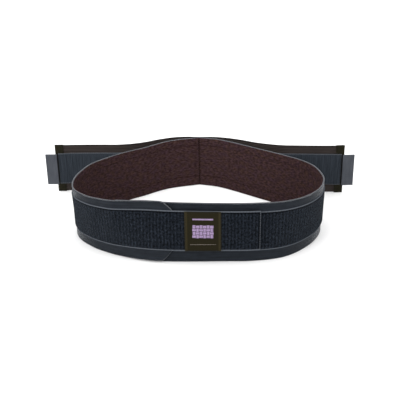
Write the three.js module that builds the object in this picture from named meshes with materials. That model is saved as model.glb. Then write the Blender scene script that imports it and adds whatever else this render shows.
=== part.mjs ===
// A sacroiliac belt, closed in front and standing on its lower edge, with its two pull straps spread behind.
// Millimetres, +Z up. The fastening faces -Y and the back seam lies at +Y.
// Two woven panels meet at the back seam. The left one laps over the right one in front and ends in a tongue.
// Every layer is a flat strip bent round one line in plan, so layers that are sewn together stay parallel.

import * as THREE from 'three';

// The waist loop in plan, measured at the inner face of the woven panels.
const WAIST_SIDE = 180;
const WAIST_DEPTH = 283.5;
const RIM_FLARE = 12.5;

// The woven panels, their lining and the loop tape along them.
const PANEL_HEIGHT = 83.5;
const WEBBING_THICKNESS = 2;
const LINING_THICKNESS = 1.2;
const LINING_INSET = 0.5;
const LOOP_TAPE_WIDTH = 56;
const LOOP_TAPE_THICKNESS = 1.6;
const LOOP_TAPE_LOW = 15.8;
const LOOP_TAPE_FROM_SEAM = 42;
const SEWN_GAP = 0.3;
const SEAM_GAP = 0.3;

// The closing in front. Places along it are counted from the middle of the front, to the left as minus.
const LEFT_PANEL_END = -37;
const TAPER_LENGTH = 15;
const TAPER_MARGIN = 1;
const RIGHT_PANEL_END = -112;
const LAP_RAMP = 55;
const LAP_GAP = 0.5;
const LAP_RAISE = 2.8;
const LAP_RAISE_LENGTH = 95;
const TONGUE_END = 77.5;
const BUTT_GAP = 0.4;

// The label on the tongue.
const LABEL_START = -20.5;
const LABEL_WIDTH = 47.5;
const LABEL_HEIGHT = 55.5;
const LABEL_THICKNESS = 0.7;

// The two elastic pull straps behind the belt.
const STRAP_LENGTH = 242;
const STRAP_FORWARD = 44;
const ELASTIC_HEIGHT = 79.5;
const ELASTIC_THICKNESS = 2;

// The binding folded round each strap's end.
const CAP_LENGTH = 13;
const CAP_CLOTH = 0.8;
const CAP_CLEARANCE = 0.2;
const CAP_OVERHANG = 0.4;

// The hook tape and the pull tab on each strap.
const HOOK_TAPE_WIDTH = 52.5;
const HOOK_TAPE_LOW = 13.6;
const HOOK_TAPE_LENGTH = 130;
const HOOK_TAPE_THICKNESS = 1.6;
const HOOK_TAPE_STEP = 14;
const TAB_OVER_CAP = 1.8;
const TAB_REACH = 17;
const TAB_DROP = 1.2;
const TAB_GAP = 2.4;

// The longest straight facet along each line, and how closely two distances along it count as one.
const LOOP_FACET = 9;
const STRAP_FACET = 14;
const LINE_SAMPLES = 2400;
const NEARLY = 1e-6;

// The waist line from the back seam round the left side: side is a share of WAIST_SIDE, depth of WAIST_DEPTH,
// and flare of RIM_FLARE, by which the rim leans out past the lower edge.
const WAIST_LEFT = [
  { side: 0.0, depth: 1.0, flare: 0.0 },
  { side: -0.185, depth: 0.966, flare: 0.0 },
  { side: -0.3, depth: 0.936, flare: -0.1 },
  { side: -0.405, depth: 0.889, flare: -0.3 },
  { side: -0.51, depth: 0.832, flare: -0.36 },
  { side: -0.615, depth: 0.783, flare: -0.3 },
  { side: -0.715, depth: 0.717, flare: -0.15 },
  { side: -0.89, depth: 0.575, flare: 0.0 },
  { side: -0.954, depth: 0.48, flare: -0.1 },
  { side: -0.993, depth: 0.38, flare: -0.2 },
  { side: -0.964, depth: 0.296, flare: 0.25 },
  { side: -0.903, depth: 0.23, flare: 0.8 },
  { side: -0.8, depth: 0.164, flare: 0.95 },
  { side: -0.697, depth: 0.125, flare: 0.78 },
  { side: -0.605, depth: 0.093, flare: 0.56 },
  { side: -0.515, depth: 0.062, flare: 0.02 },
  { side: -0.427, depth: 0.037, flare: -0.42 },
  { side: -0.33, depth: 0.02, flare: -0.52 },
  { side: -0.195, depth: 0.011, flare: -0.4 },
];

// The same line from the front round the right side to the back seam.
const WAIST_RIGHT = [
  { side: 0.165, depth: 0.0065, flare: -0.07 },
  { side: 0.38, depth: 0.0065, flare: 0.0 },
  { side: 0.56, depth: 0.028, flare: 0.24 },
  { side: 0.653, depth: 0.056, flare: 0.42 },
  { side: 0.755, depth: 0.111, flare: 0.66 },
  { side: 0.865, depth: 0.197, flare: 0.6 },
  { side: 0.94, depth: 0.295, flare: 0.25 },
  { side: 0.961, depth: 0.363, flare: 0.0 },
  { side: 0.93, depth: 0.482, flare: 0.0 },
  { side: 0.853, depth: 0.573, flare: 0.0 },
  { side: 0.672, depth: 0.69, flare: 0.0 },
  { side: 0.472, depth: 0.802, flare: 0.0 },
  { side: 0.372, depth: 0.859, flare: 0.0 },
  { side: 0.267, depth: 0.915, flare: 0.0 },
  { side: 0.155, depth: 0.963, flare: 0.0 },
  { side: 0.0, depth: 1.0, flare: 0.0 },
];

// The straps' line from the right end over the back seam to the left end: out is a share of STRAP_LENGTH,
// and forward of STRAP_FORWARD, by which the strap lies in front of its place at the seam.
const STRAP_LINE = [
  { out: 1.1, forward: 1.02 },
  { out: 0.83, forward: 1.06 },
  { out: 0.64, forward: 1.03 },
  { out: 0.555, forward: 1.0 },
  { out: 0.47, forward: 0.88 },
  { out: 0.38, forward: 0.68 },
  { out: 0.29, forward: 0.385 },
  { out: 0.2, forward: 0.15 },
  { out: 0.105, forward: 0.01 },
  { out: 0.0, forward: 0.0 },
  { out: -0.085, forward: -0.07 },
  { out: -0.18, forward: -0.03 },
  { out: -0.275, forward: 0.17 },
  { out: -0.365, forward: 0.44 },
  { out: -0.455, forward: 0.6 },
  { out: -0.55, forward: 0.655 },
  { out: -0.64, forward: 0.61 },
  { out: -0.81, forward: 0.54 },
  { out: -1.1, forward: 0.5 },
];

// How far the taper has cut into the left panel's edge: along is a share of TAPER_LENGTH and cut a share of
// the full cut.
const TAPER_CUT = [
  { along: 0.0, cut: 0.0 },
  { along: 0.18, cut: 0.05 },
  { along: 0.38, cut: 0.24 },
  { along: 1.0, cut: 1.0 },
];

// Layers are counted outward from the panels' inner face, each as [inner, outer].
const LINING_LAYER = [-SEWN_GAP - LINING_THICKNESS, -SEWN_GAP];
const WEBBING_LAYER = [0, WEBBING_THICKNESS];
const LOOP_LAYER = [WEBBING_THICKNESS + SEWN_GAP, WEBBING_THICKNESS + SEWN_GAP + LOOP_TAPE_THICKNESS];
const LABEL_LAYER = [LOOP_LAYER[1] + SEWN_GAP, LOOP_LAYER[1] + SEWN_GAP + LABEL_THICKNESS];
const LAP_LIFT = LOOP_LAYER[1] + LAP_GAP;
const LOOP_TAPE_TOP = LOOP_TAPE_LOW + LOOP_TAPE_WIDTH;

// Between 0 and 1, smoothly, as value goes from start to end.
function smoothShare(value, start, end) {
  return THREE.MathUtils.smoothstep(value, start, end);
}

// A line in plan as close samples of a curve, each with its distance along it; carried is a size of the row.
function sampleLine(rows) {
  const points = rows.map((row) => new THREE.Vector3(row.x, row.y, row.carried));
  const curve = new THREE.CatmullRomCurve3(points, false, 'centripetal');
  const line = [];
  let along = 0;
  for (let i = 0; i <= LINE_SAMPLES; i += 1) {
    const point = curve.getPoint(i / LINE_SAMPLES);
    if (i > 0) {
      const last = line[i - 1];
      along += Math.hypot(point.x - last.x, point.y - last.y);
    }
    line.push({ along, x: point.x, y: point.y, carried: point.z });
  }
  return line;
}

// The place on a sampled line at one distance along it.
function placeAt(line, along) {
  let next = line.findIndex((sample) => sample.along >= along);
  if (next < 0) {
    next = line.length - 1;
  }
  next = Math.max(next, 1);
  const from = line[next - 1];
  const to = line[next];
  const share = (along - from.along) / (to.along - from.along);
  return {
    along,
    x: THREE.MathUtils.lerp(from.x, to.x, share),
    y: THREE.MathUtils.lerp(from.y, to.y, share),
    carried: THREE.MathUtils.lerp(from.carried, to.carried, share),
  };
}

// Where a sampled line crosses x = 0 within a span of its samples' distances.
function crossingOfMiddle(line, first, last) {
  for (let i = 1; i < line.length; i += 1) {
    const from = line[i - 1];
    const to = line[i];
    const inside = from.along >= first && to.along <= last;
    if (inside && Math.sign(from.x) !== Math.sign(to.x)) {
      return THREE.MathUtils.mapLinear(0, from.x, to.x, from.along, to.along);
    }
  }
  throw new Error('the line does not cross the middle');
}

// The outward normal of the straight facet between two places.
function facetNormal(from, to) {
  const length = Math.hypot(to.x - from.x, to.y - from.y);
  return new THREE.Vector2((to.y - from.y) / length, -(to.x - from.x) / length);
}

// Stations that every layer on a line shares: the given breaks, with facets no longer than the step between.
// Each has a mitre, the move that keeps the facets of a layer one unit further out parallel to this one.
function makeStations(line, breaks, step, closedBySeam) {
  const sorted = [...breaks].sort((a, b) => a - b);
  const stations = [];
  for (let i = 0; i < sorted.length - 1; i += 1) {
    const span = sorted[i + 1] - sorted[i];
    const facets = Math.max(1, Math.ceil(span / step - NEARLY));
    for (let k = 0; k < facets; k += 1) {
      stations.push(placeAt(line, sorted[i] + (span * k) / facets));
    }
  }
  stations.push(placeAt(line, sorted[sorted.length - 1]));
  stations.forEach((station, i) => {
    const mirrored = (other) => ({ x: 2 * station.x - other.x, y: other.y });
    const straight = (other) => ({ x: 2 * station.x - other.x, y: 2 * station.y - other.y });
    const beyond = closedBySeam ? mirrored : straight;
    const before = stations[i - 1] ?? beyond(stations[i + 1]);
    const after = stations[i + 1] ?? beyond(stations[i - 1]);
    const one = facetNormal(before, station);
    const two = facetNormal(station, after);
    const bisector = one.clone().add(two).normalize();
    station.mitre = bisector.divideScalar(bisector.dot(one));
  });
  return stations;
}

// The stations from one distance to another, both of them breaks of the line.
function stretch(stations, from, to) {
  return stations.filter((station) => station.along > from - NEARLY && station.along < to + NEARLY);
}

// The indices of a box's inner face, each square cut along the same diagonal as on the outer face, so that
// two layers stay parallel where the strip twists.
function matchDiagonals(geometry) {
  const index = geometry.getIndex();
  const innerFace = geometry.groups[5];
  for (let i = innerFace.start; i < innerFace.start + innerFace.count; i += 6) {
    const a = index.getX(i);
    const b = index.getX(i + 1);
    const c = index.getX(i + 4);
    const d = index.getX(i + 2);
    [a, b, c, a, c, d].forEach((vertex, k) => index.setX(i + k, vertex));
  }
}

// A strip bent round a run of stations. heights gives its levels at a station from the lowest up, and layer
// gives its [inner, outer] there; both hold for the whole strip where they don't depend on the station.
function bentStrip(run, heights, layer) {
  const facets = run.length - 1;
  const rows = heights(run[0]).length - 1;
  const geometry = new THREE.BoxGeometry(1, 1, 1, facets, rows, 1);
  matchDiagonals(geometry);
  const position = geometry.getAttribute('position');
  for (let i = 0; i < position.count; i += 1) {
    const station = run[Math.round((position.getX(i) + 0.5) * facets)];
    const z = heights(station)[Math.round((position.getY(i) + 0.5) * rows)];
    const [inner, outer] = layer(station);
    const lean = (station.carried * z) / PANEL_HEIGHT;
    const out = (position.getZ(i) > 0 ? outer : inner) + lean;
    position.setXYZ(i, station.x + station.mitre.x * out, station.y + station.mitre.y * out, z);
  }
  geometry.computeVertexNormals();
  return geometry;
}

// The colours are the cloths' own, under soft light.
const GREY_WEBBING = { color: 0x3a4148, roughness: 0.85, metalness: 0 };
const NAVY_LOOP = { color: 0x1e262d, roughness: 0.95, metalness: 0 };
const MAROON_LINING = { color: 0x46302d, roughness: 0.95, metalness: 0 };
const BROWN_ELASTIC = { color: 0x2f2a28, roughness: 0.9, metalness: 0 };
const OLIVE_BINDING = { color: 0x201e17, roughness: 0.9, metalness: 0 };
const NAVY_HOOK = { color: 0x2c343c, roughness: 0.85, metalness: 0 };
const PALE_GREY_TAB = { color: 0x555a61, roughness: 0.8, metalness: 0 };
const BLACK_HOOK = { color: 0x151515, roughness: 0.9, metalness: 0 };
const OLIVE_LABEL = { color: 0x1f1d19, roughness: 0.7, metalness: 0 };

const belt = new THREE.Group();

// Adds one piece to the belt under its name, with a material of its own.
function addPiece(name, geometry, finish) {
  const mesh = new THREE.Mesh(geometry, new THREE.MeshStandardMaterial(finish));
  mesh.name = name;
  belt.add(mesh);
  return mesh;
}

// The waist line and its stations.
const waistRows = [...WAIST_LEFT, ...WAIST_RIGHT].map((row) => ({
  x: row.side * WAIST_SIDE,
  y: row.depth * WAIST_DEPTH,
  carried: row.flare * RIM_FLARE,
}));
const waist = sampleLine(waistRows);
const waistLength = waist[waist.length - 1].along;
const frontMiddle = crossingOfMiddle(waist, waistLength / 4, (waistLength * 3) / 4);
const places = {
  seamLeft: SEAM_GAP / 2,
  seamRight: waistLength - SEAM_GAP / 2,
  tapeLeft: LOOP_TAPE_FROM_SEAM,
  tapeRight: waistLength - LOOP_TAPE_FROM_SEAM,
  liningLeftEnd: frontMiddle + RIGHT_PANEL_END - LAP_GAP,
  rightEnd: frontMiddle + RIGHT_PANEL_END,
  taperEnd: frontMiddle + LEFT_PANEL_END,
  hookStart: frontMiddle + LEFT_PANEL_END + BUTT_GAP,
  labelStart: frontMiddle + LABEL_START,
  labelEnd: frontMiddle + LABEL_START + LABEL_WIDTH,
  tongueEnd: frontMiddle + TONGUE_END,
};
const taperStart = places.taperEnd - TAPER_LENGTH;
const taperPlaces = TAPER_CUT.slice(0, -1).map((row) => taperStart + row.along * TAPER_LENGTH);
const waistStations = makeStations(waist, [...Object.values(places), ...taperPlaces], LOOP_FACET, true);

// How far the lapped left panel stands off the waist line, and how far it is raised, at one station.
function lapLift(station) {
  const start = places.liningLeftEnd - LAP_RAMP;
  return LAP_LIFT * smoothShare(station.along, start, places.liningLeftEnd - LAP_GAP);
}
function lapRaise(station) {
  return LAP_RAISE * smoothShare(station.along, taperStart - LAP_RAISE_LENGTH, taperStart);
}

// A layer of the left panel, lifted where it laps over the right one.
function lapped(layer) {
  return (station) => layer.map((face) => face + lapLift(station));
}

// A layer that keeps its place.
function plain(layer) {
  return () => layer;
}

// The share of the full cut that the taper has made at one station.
function taperCut(station) {
  const along = (station.along - taperStart) / TAPER_LENGTH;
  const next = TAPER_CUT.findIndex((row) => row.along >= along - NEARLY);
  if (next < 1) {
    return 0;
  }
  const from = TAPER_CUT[next - 1];
  const to = TAPER_CUT[next];
  return THREE.MathUtils.mapLinear(along, from.along, to.along, from.cut, to.cut);
}

// The levels of the left panel's pieces, raised with the lap, and of the right panel's.
function leftPanelHeights(station) {
  const raise = lapRaise(station);
  const cut = taperCut(station);
  const low = THREE.MathUtils.lerp(0, LOOP_TAPE_LOW - TAPER_MARGIN, cut);
  const top = THREE.MathUtils.lerp(PANEL_HEIGHT, LOOP_TAPE_TOP + TAPER_MARGIN, cut);
  return [low, LOOP_TAPE_LOW, LOOP_TAPE_TOP, top].map((level) => level + raise);
}
function leftLiningHeights(station) {
  const levels = [LINING_INSET, LOOP_TAPE_LOW, LOOP_TAPE_TOP, PANEL_HEIGHT - LINING_INSET];
  return levels.map((level) => level + lapRaise(station));
}
function leftTapeHeights(station) {
  return [LOOP_TAPE_LOW, LOOP_TAPE_TOP].map((level) => level + lapRaise(station));
}
function labelHeights(station) {
  const low = LOOP_TAPE_LOW + (LOOP_TAPE_WIDTH - LABEL_HEIGHT) / 2;
  return [low, low + LABEL_HEIGHT].map((level) => level + lapRaise(station));
}
function rightPanelHeights() {
  return [0, LOOP_TAPE_LOW, LOOP_TAPE_TOP, PANEL_HEIGHT];
}
function rightLiningHeights() {
  return [LINING_INSET, LOOP_TAPE_LOW, LOOP_TAPE_TOP, PANEL_HEIGHT - LINING_INSET];
}
function rightTapeHeights() {
  return [LOOP_TAPE_LOW, LOOP_TAPE_TOP];
}

// The left panel, from the back seam round the left side to its tapered end in front.
function addLeftPanel() {
  const panel = stretch(waistStations, places.seamLeft, places.taperEnd);
  const lining = stretch(waistStations, places.seamLeft, places.liningLeftEnd);
  const tape = stretch(waistStations, places.tapeLeft, places.tongueEnd);
  addPiece('webbing_left', bentStrip(panel, leftPanelHeights, lapped(WEBBING_LAYER)), GREY_WEBBING);
  addPiece('lining_left', bentStrip(lining, leftLiningHeights, lapped(LINING_LAYER)), MAROON_LINING);
  addPiece('loop_tape_left', bentStrip(tape, leftTapeHeights, lapped(LOOP_LAYER)), NAVY_LOOP);
}

// The hook patch under the tongue, in the layer where the panel has ended, and the label on the tongue.
function addTongue() {
  const hook = stretch(waistStations, places.hookStart, places.tongueEnd);
  const label = stretch(waistStations, places.labelStart, places.labelEnd);
  addPiece('tongue_hook', bentStrip(hook, leftTapeHeights, lapped(WEBBING_LAYER)), BLACK_HOOK);
  addPiece('label', bentStrip(label, labelHeights, lapped(LABEL_LAYER)), OLIVE_LABEL);
}

// The right panel, from its square end under the left one round the right side to the back seam.
function addRightPanel() {
  const panel = stretch(waistStations, places.rightEnd, places.seamRight);
  const tape = stretch(waistStations, places.rightEnd, places.tapeRight);
  addPiece('webbing_right', bentStrip(panel, rightPanelHeights, plain(WEBBING_LAYER)), GREY_WEBBING);
  addPiece('lining_right', bentStrip(panel, rightLiningHeights, plain(LINING_LAYER)), MAROON_LINING);
  addPiece('loop_tape_right', bentStrip(tape, rightTapeHeights, plain(LOOP_LAYER)), NAVY_LOOP);
}

// The straps' line lies behind the seam by the mitred thickness of the panels there.
const seamStation = waistStations[0];
const strapAtSeam = seamStation.y + (WEBBING_THICKNESS + SEWN_GAP) * seamStation.mitre.y;
const strapRows = STRAP_LINE.map((row) => ({
  x: row.out * STRAP_LENGTH,
  y: strapAtSeam - row.forward * STRAP_FORWARD,
  carried: 0,
}));
const strapLine = sampleLine(strapRows);
const strapMiddle = crossingOfMiddle(strapLine, 0, strapLine[strapLine.length - 1].along);

// Each strap is built from the same distances along it, counted from the seam to its free end.
const strapPlaces = {
  seam: SEAM_GAP / 2,
  hookStart: STRAP_LENGTH - TAB_OVER_CAP - TAB_GAP - HOOK_TAPE_LENGTH,
  hookDown: STRAP_LENGTH - CAP_LENGTH - HOOK_TAPE_STEP,
  capStart: STRAP_LENGTH - CAP_LENGTH - CAP_CLEARANCE,
  hookEnd: STRAP_LENGTH - TAB_OVER_CAP - TAB_GAP,
  tabStart: STRAP_LENGTH - TAB_OVER_CAP,
  elasticEnd: STRAP_LENGTH,
  tabEnd: STRAP_LENGTH + TAB_REACH,
};

const strapBreaks = Object.values(strapPlaces).flatMap((place) => [strapMiddle - place, strapMiddle + place]);
const strapStations = makeStations(strapLine, strapBreaks, STRAP_FACET, false);

// The strap's lower edge. At the seam the strap's top is level with the panels' rim, and at its free end the
// binding stands on the floor.
function strapLow(fromSeam) {
  const atSeam = PANEL_HEIGHT - ELASTIC_HEIGHT;
  return THREE.MathUtils.mapLinear(fromSeam, 0, STRAP_LENGTH, atSeam, CAP_OVERHANG);
}

// One strap with its binding, hook tape and pull tab. The left strap runs on past the seam, and the right one
// towards it.
function addStrap(side, direction) {
  const fromSeam = (station) => Math.abs(station.along - strapMiddle);
  const run = (one, two) => {
    const ends = [one, two].map((place) => strapMiddle + direction * place);
    return stretch(strapStations, Math.min(...ends), Math.max(...ends));
  };
  const frontOf = (depth, thickness) => [-depth - thickness, -depth];
  const onCap = CAP_CLEARANCE + CAP_CLOTH + SEWN_GAP;
  const tapeHeights = (station) => {
    const low = strapLow(Math.min(fromSeam(station), STRAP_LENGTH)) + HOOK_TAPE_LOW;
    return [low, low + HOOK_TAPE_WIDTH];
  };
  const elasticHeights = (station) => {
    const low = strapLow(fromSeam(station));
    return [low, ...tapeHeights(station), low + ELASTIC_HEIGHT];
  };
  const tapeDepth = (station) => {
    const share = smoothShare(fromSeam(station), strapPlaces.hookDown, strapPlaces.capStart);
    return THREE.MathUtils.lerp(SEWN_GAP, onCap, share);
  };

  const elastic = run(strapPlaces.seam, strapPlaces.elasticEnd);
  const elasticLayer = plain([0, ELASTIC_THICKNESS]);
  addPiece(`elastic_${side}`, bentStrip(elastic, elasticHeights, elasticLayer), BROWN_ELASTIC);

  const hook = run(strapPlaces.hookStart, strapPlaces.hookEnd);
  const hookLayer = (station) => frontOf(tapeDepth(station), HOOK_TAPE_THICKNESS);
  addPiece(`hook_tape_${side}`, bentStrip(hook, tapeHeights, hookLayer), NAVY_HOOK);

  const tab = run(strapPlaces.tabStart, strapPlaces.tabEnd);
  const tabHeights = (station) => tapeHeights(station).map((level) => level - TAB_DROP);
  const tabLayer = plain(frontOf(onCap, HOOK_TAPE_THICKNESS));
  addPiece(`pull_tab_${side}`, bentStrip(tab, tabHeights, tabLayer), PALE_GREY_TAB);

  addEndCap(side, direction, run(strapPlaces.capStart, strapPlaces.elasticEnd));
}

// The binding is a strip of cloth folded round the strap's end: a narrow U in plan, as tall as the strap.
function addEndCap(side, direction, run) {
  const first = run[0];
  const last = run[run.length - 1];
  const end = direction > 0 ? last : first;
  const past = CAP_CLEARANCE + CAP_CLOTH;
  const outer = [-past, ELASTIC_THICKNESS + past];
  const inner = [-CAP_CLEARANCE, ELASTIC_THICKNESS + CAP_CLEARANCE];
  const outline = [
    [-CAP_LENGTH, outer[0]],
    [past, outer[0]],
    [past, outer[1]],
    [-CAP_LENGTH, outer[1]],
    [-CAP_LENGTH, inner[1]],
    [CAP_CLEARANCE, inner[1]],
    [CAP_CLEARANCE, inner[0]],
    [-CAP_LENGTH, inner[0]],
  ];
  const shape = new THREE.Shape(outline.map(([along, out]) => new THREE.Vector2(direction * along, -out)));
  const height = ELASTIC_HEIGHT + 2 * CAP_OVERHANG;
  const geometry = new THREE.ExtrudeGeometry(shape, { depth: height, bevelEnabled: false });
  const mesh = addPiece(`end_cap_${side}`, geometry, OLIVE_BINDING);
  mesh.rotation.z = Math.atan2(last.y - first.y, last.x - first.x);
  mesh.position.set(end.x, end.y, 0);
}

addLeftPanel();
addTongue();
addRightPanel();
addStrap('left', 1);
addStrap('right', -1);

// The origin is the middle of the belt's footprint, on the surface it stands on.
const extent = new THREE.Box3().setFromObject(belt);
const middle = extent.getCenter(new THREE.Vector3());
belt.position.set(-middle.x, -middle.y, -extent.min.z);

export default belt;
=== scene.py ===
"""A sacroiliac belt standing closed on its lower edge, with its two elastic pull straps spread behind it.

Each cloth piece is made flat, as it is cut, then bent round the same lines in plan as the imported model.
"""

import math
from bisect import bisect_left

import bmesh
import bpy
from mathutils import Matrix, Vector


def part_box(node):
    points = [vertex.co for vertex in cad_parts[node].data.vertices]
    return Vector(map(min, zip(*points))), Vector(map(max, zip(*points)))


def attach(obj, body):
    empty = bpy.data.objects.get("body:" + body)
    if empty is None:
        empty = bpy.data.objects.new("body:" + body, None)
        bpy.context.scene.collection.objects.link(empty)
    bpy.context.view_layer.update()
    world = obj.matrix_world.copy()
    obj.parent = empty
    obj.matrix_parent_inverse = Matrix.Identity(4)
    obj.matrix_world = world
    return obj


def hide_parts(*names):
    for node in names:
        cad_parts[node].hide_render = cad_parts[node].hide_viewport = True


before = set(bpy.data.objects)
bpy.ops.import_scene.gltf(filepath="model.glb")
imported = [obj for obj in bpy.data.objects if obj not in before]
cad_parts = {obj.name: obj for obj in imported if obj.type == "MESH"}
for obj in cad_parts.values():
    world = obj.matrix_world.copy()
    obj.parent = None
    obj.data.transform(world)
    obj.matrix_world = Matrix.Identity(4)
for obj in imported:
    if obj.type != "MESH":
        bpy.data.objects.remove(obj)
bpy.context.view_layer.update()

MM = 0.001

# The waist loop in plan, measured at the inner face of the woven panels.
WAIST_SIDE = 180 * MM
WAIST_DEPTH = 283.5 * MM
RIM_FLARE = 12.5 * MM

# The woven panels, their lining and the loop tape along them.
PANEL_HEIGHT = 83.5 * MM
WEBBING_THICKNESS = 2 * MM
LINING_THICKNESS = 1.2 * MM
LINING_INSET = 0.5 * MM
LOOP_TAPE_WIDTH = 56 * MM
LOOP_TAPE_THICKNESS = 1.6 * MM
LOOP_TAPE_LOW = 15.8 * MM
LOOP_TAPE_TOP = LOOP_TAPE_LOW + LOOP_TAPE_WIDTH
LOOP_TAPE_FROM_SEAM = 42 * MM
SEWN_GAP = 0.3 * MM
SEAM_GAP = 0.3 * MM

# The closing in front. Places along it are counted from the middle of the front, to the left as minus.
LEFT_PANEL_END = -37 * MM
TAPER_LENGTH = 15 * MM
TAPER_MARGIN = 1 * MM
RIGHT_PANEL_END = -112 * MM
LAP_RAMP = 55 * MM
LAP_GAP = 0.5 * MM
LAP_RAISE = 2.8 * MM
LAP_RAISE_LENGTH = 95 * MM
TONGUE_END = 77.5 * MM
BUTT_GAP = 0.4 * MM

# The label on the tongue.
LABEL_START = -20.5 * MM
LABEL_WIDTH = 47.5 * MM
LABEL_HEIGHT = 55.5 * MM
LABEL_THICKNESS = 0.7 * MM

# The two elastic pull straps behind the belt.
STRAP_LENGTH = 242 * MM
STRAP_FORWARD = 44 * MM
ELASTIC_HEIGHT = 79.5 * MM
ELASTIC_THICKNESS = 2 * MM

# The binding folded round each strap's end, with the hook tape and the pull tab on the strap.
CAP_LENGTH = 13 * MM
CAP_CLOTH = 0.8 * MM
CAP_CLEARANCE = 0.2 * MM
CAP_OVERHANG = 0.4 * MM
HOOK_TAPE_WIDTH = 52.5 * MM
HOOK_TAPE_LOW = 13.6 * MM
HOOK_TAPE_LENGTH = 130 * MM
HOOK_TAPE_THICKNESS = 1.6 * MM
HOOK_TAPE_STEP = 14 * MM
TAB_OVER_CAP = 1.8 * MM
TAB_REACH = 17 * MM
TAB_DROP = 1.2 * MM
TAB_GAP = 2.4 * MM

# The waist line from the back seam round the left side to the front, then round the right side to the seam:
# shares of WAIST_SIDE, WAIST_DEPTH and RIM_FLARE.
WAIST_LINE = [
    (0.0, 1.0, 0.0),
    (-0.185, 0.966, 0.0),
    (-0.3, 0.936, -0.1),
    (-0.405, 0.889, -0.3),
    (-0.51, 0.832, -0.36),
    (-0.615, 0.783, -0.3),
    (-0.715, 0.717, -0.15),
    (-0.89, 0.575, 0.0),
    (-0.954, 0.48, -0.1),
    (-0.993, 0.38, -0.2),
    (-0.964, 0.296, 0.25),
    (-0.903, 0.23, 0.8),
    (-0.8, 0.164, 0.95),
    (-0.697, 0.125, 0.78),
    (-0.605, 0.093, 0.56),
    (-0.515, 0.062, 0.02),
    (-0.427, 0.037, -0.42),
    (-0.33, 0.02, -0.52),
    (-0.195, 0.011, -0.4),
    (0.165, 0.0065, -0.07),
    (0.38, 0.0065, 0.0),
    (0.56, 0.028, 0.24),
    (0.653, 0.056, 0.42),
    (0.755, 0.111, 0.66),
    (0.865, 0.197, 0.6),
    (0.94, 0.295, 0.25),
    (0.961, 0.363, 0.0),
    (0.93, 0.482, 0.0),
    (0.853, 0.573, 0.0),
    (0.672, 0.69, 0.0),
    (0.472, 0.802, 0.0),
    (0.372, 0.859, 0.0),
    (0.267, 0.915, 0.0),
    (0.155, 0.963, 0.0),
    (0.0, 1.0, 0.0),
]

# The straps' line from the right end over the seam to the left end: shares of STRAP_LENGTH and STRAP_FORWARD.
STRAP_LINE = [
    (1.1, 1.02),
    (0.83, 1.06),
    (0.64, 1.03),
    (0.555, 1.0),
    (0.47, 0.88),
    (0.38, 0.68),
    (0.29, 0.385),
    (0.2, 0.15),
    (0.105, 0.01),
    (0.0, 0.0),
    (-0.085, -0.07),
    (-0.18, -0.03),
    (-0.275, 0.17),
    (-0.365, 0.44),
    (-0.455, 0.6),
    (-0.55, 0.655),
    (-0.64, 0.61),
    (-0.81, 0.54),
    (-1.1, 0.5),
]

# How far the taper has cut into the left panel's edge: shares of its length and of the full cut.
TAPER_CUT = [(0.0, 0.0), (0.18, 0.05), (0.38, 0.24), (1.0, 1.0)]

# The camera, in the belt's own plan: how far in front of the belt it stands, its height, its aim and lens.
CAMERA_BACK = 839 * MM
CAMERA_HEIGHT = 437.8 * MM
CAMERA_PITCH = math.radians(22.57)
CAMERA_ROLL = math.radians(-0.83)
FOCAL_PIXELS = 708
PHOTO_PIXELS = 400
SENSOR_WIDTH = 36

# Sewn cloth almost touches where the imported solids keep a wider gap.
CLOTH_GAP = 0.05 * MM

# How closely the lines are followed.
LINE_SAMPLES = 2400
NORMAL_SPAN = 3 * MM

# How closely the cloth is cut: its longest column along the lines, and its widest rows across them.
COLUMN = 2 * MM
SHORT_COLUMN = 1 * MM
FOLD_COLUMN = 0.8 * MM
PANEL_ROW = 3.6 * MM
TAPE_ROW = 3.4 * MM
LABEL_ROW = 3 * MM
CAP_ROW = 4 * MM

# An edge of the flat cloth sharper than this is on its border.
SHARP_ANGLE = math.radians(60)


def smooth_share(value, start, end):
    """Between 0 and 1, smoothly, as value goes from start to end."""
    share = min(max((value - start) / (end - start), 0.0), 1.0)
    return share * share * (3 - 2 * share)


def from_to(low, high, share):
    """The value a share of the way from low to high."""
    return low + (high - low) * share


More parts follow.
